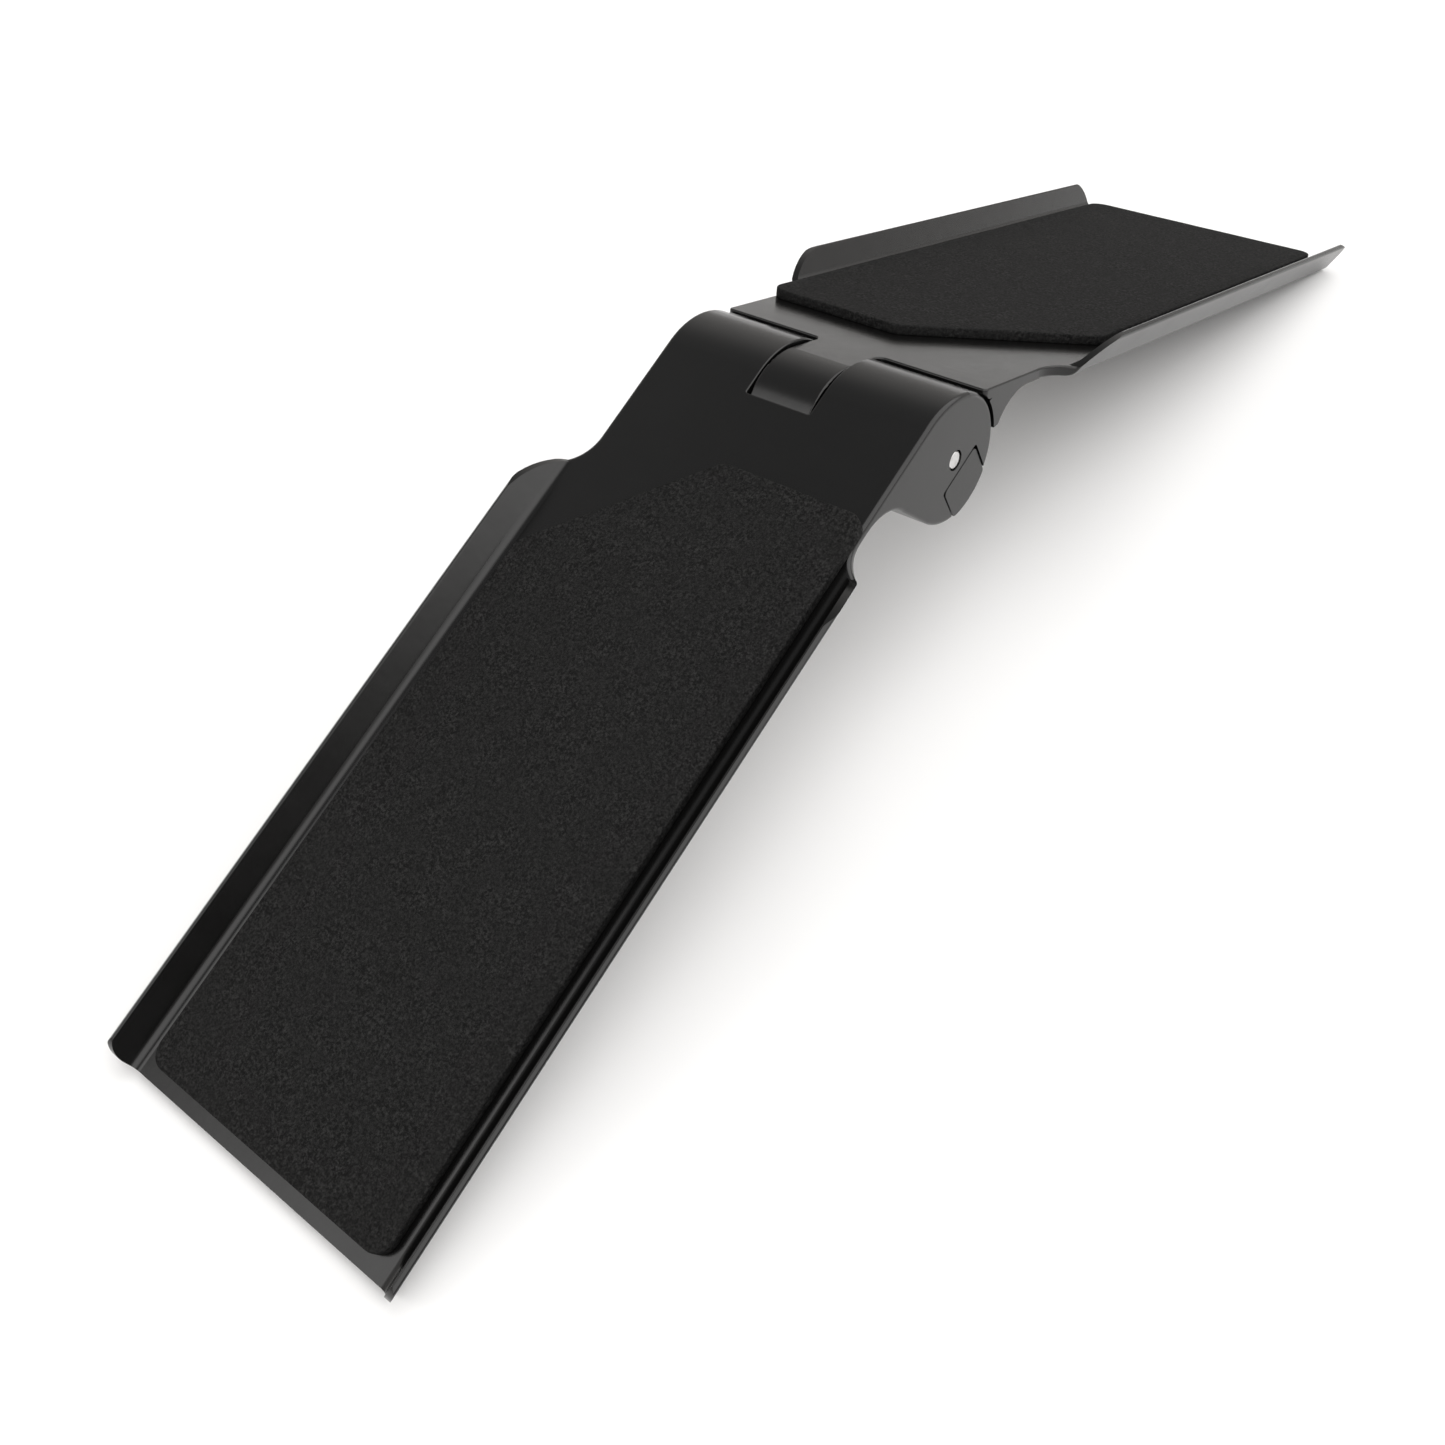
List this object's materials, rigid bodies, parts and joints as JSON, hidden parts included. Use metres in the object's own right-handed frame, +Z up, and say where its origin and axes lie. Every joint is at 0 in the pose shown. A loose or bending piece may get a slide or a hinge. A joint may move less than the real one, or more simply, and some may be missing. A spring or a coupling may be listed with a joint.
{
  "type": "folding dog ramp",
  "caption": "Two-part folding dog ramp: moulded trays with side rails and foam treads, joined by a barrel hinge on a steel pin with spring-loaded lock blocks.",
  "frame": {"origin": "middle of the footprint, on the floor, with the ramp standing as a low tent on its two end edges", "axes": "+X along the hinge pin, -Y towards the end of the lower half, +Y towards the end of the upper half, +Z up"},
  "size_m": [0.2998, 1.2988, 0.2406],
  "materials": {
    "moulded_plastic": "satin black moulded plastic",
    "foam": "matt black closed-cell foam with a fine grain",
    "pin_steel": "turned steel",
    "lock_plastic": "satin dark grey moulded plastic",
    "screw_steel": "dark zinc plate",
    "spring_steel": "bright spring wire",
    "bush_plastic": "natural nylon"
  },
  "bodies": {
    "lower_half": {"lower_tray": "moulded_plastic", "lower_pad": "foam", "hinge_pin": "pin_steel", "right_guide_screws": "screw_steel", "left_guide_screws": "screw_steel", "right_lock_springs": "spring_steel", "left_lock_springs": "spring_steel"},
    "upper_half": {"upper_tray": "moulded_plastic", "upper_pad": "foam", "right_hinge_bush": "bush_plastic", "left_hinge_bush": "bush_plastic", "right_thrust_washer": "bush_plastic", "left_thrust_washer": "bush_plastic"},
    "right_lock": {"right_lock_block": "lock_plastic"},
    "left_lock": {"left_lock_block": "lock_plastic"}
  },
  "joints": [
    {"name": "fold", "type": "hinge", "parent": "lower_half", "child": "upper_half", "pos_m": [0, 0.0005, 0.18935], "axis": [-1, 0, 0], "range_deg": [-40, 140]},
    {"name": "right_lock_press", "type": "slide", "parent": "lower_half", "child": "right_lock", "axis": [0, -0.3468, 0.9379], "range_m": [0, 0.002], "stiffness_N_per_m": 3000, "springref_m": -0.004},
    {"name": "left_lock_press", "type": "slide", "parent": "lower_half", "child": "left_lock", "axis": [0, -0.3468, 0.9379], "range_m": [0, 0.002], "stiffness_N_per_m": 3000, "springref_m": -0.004}
  ]
}
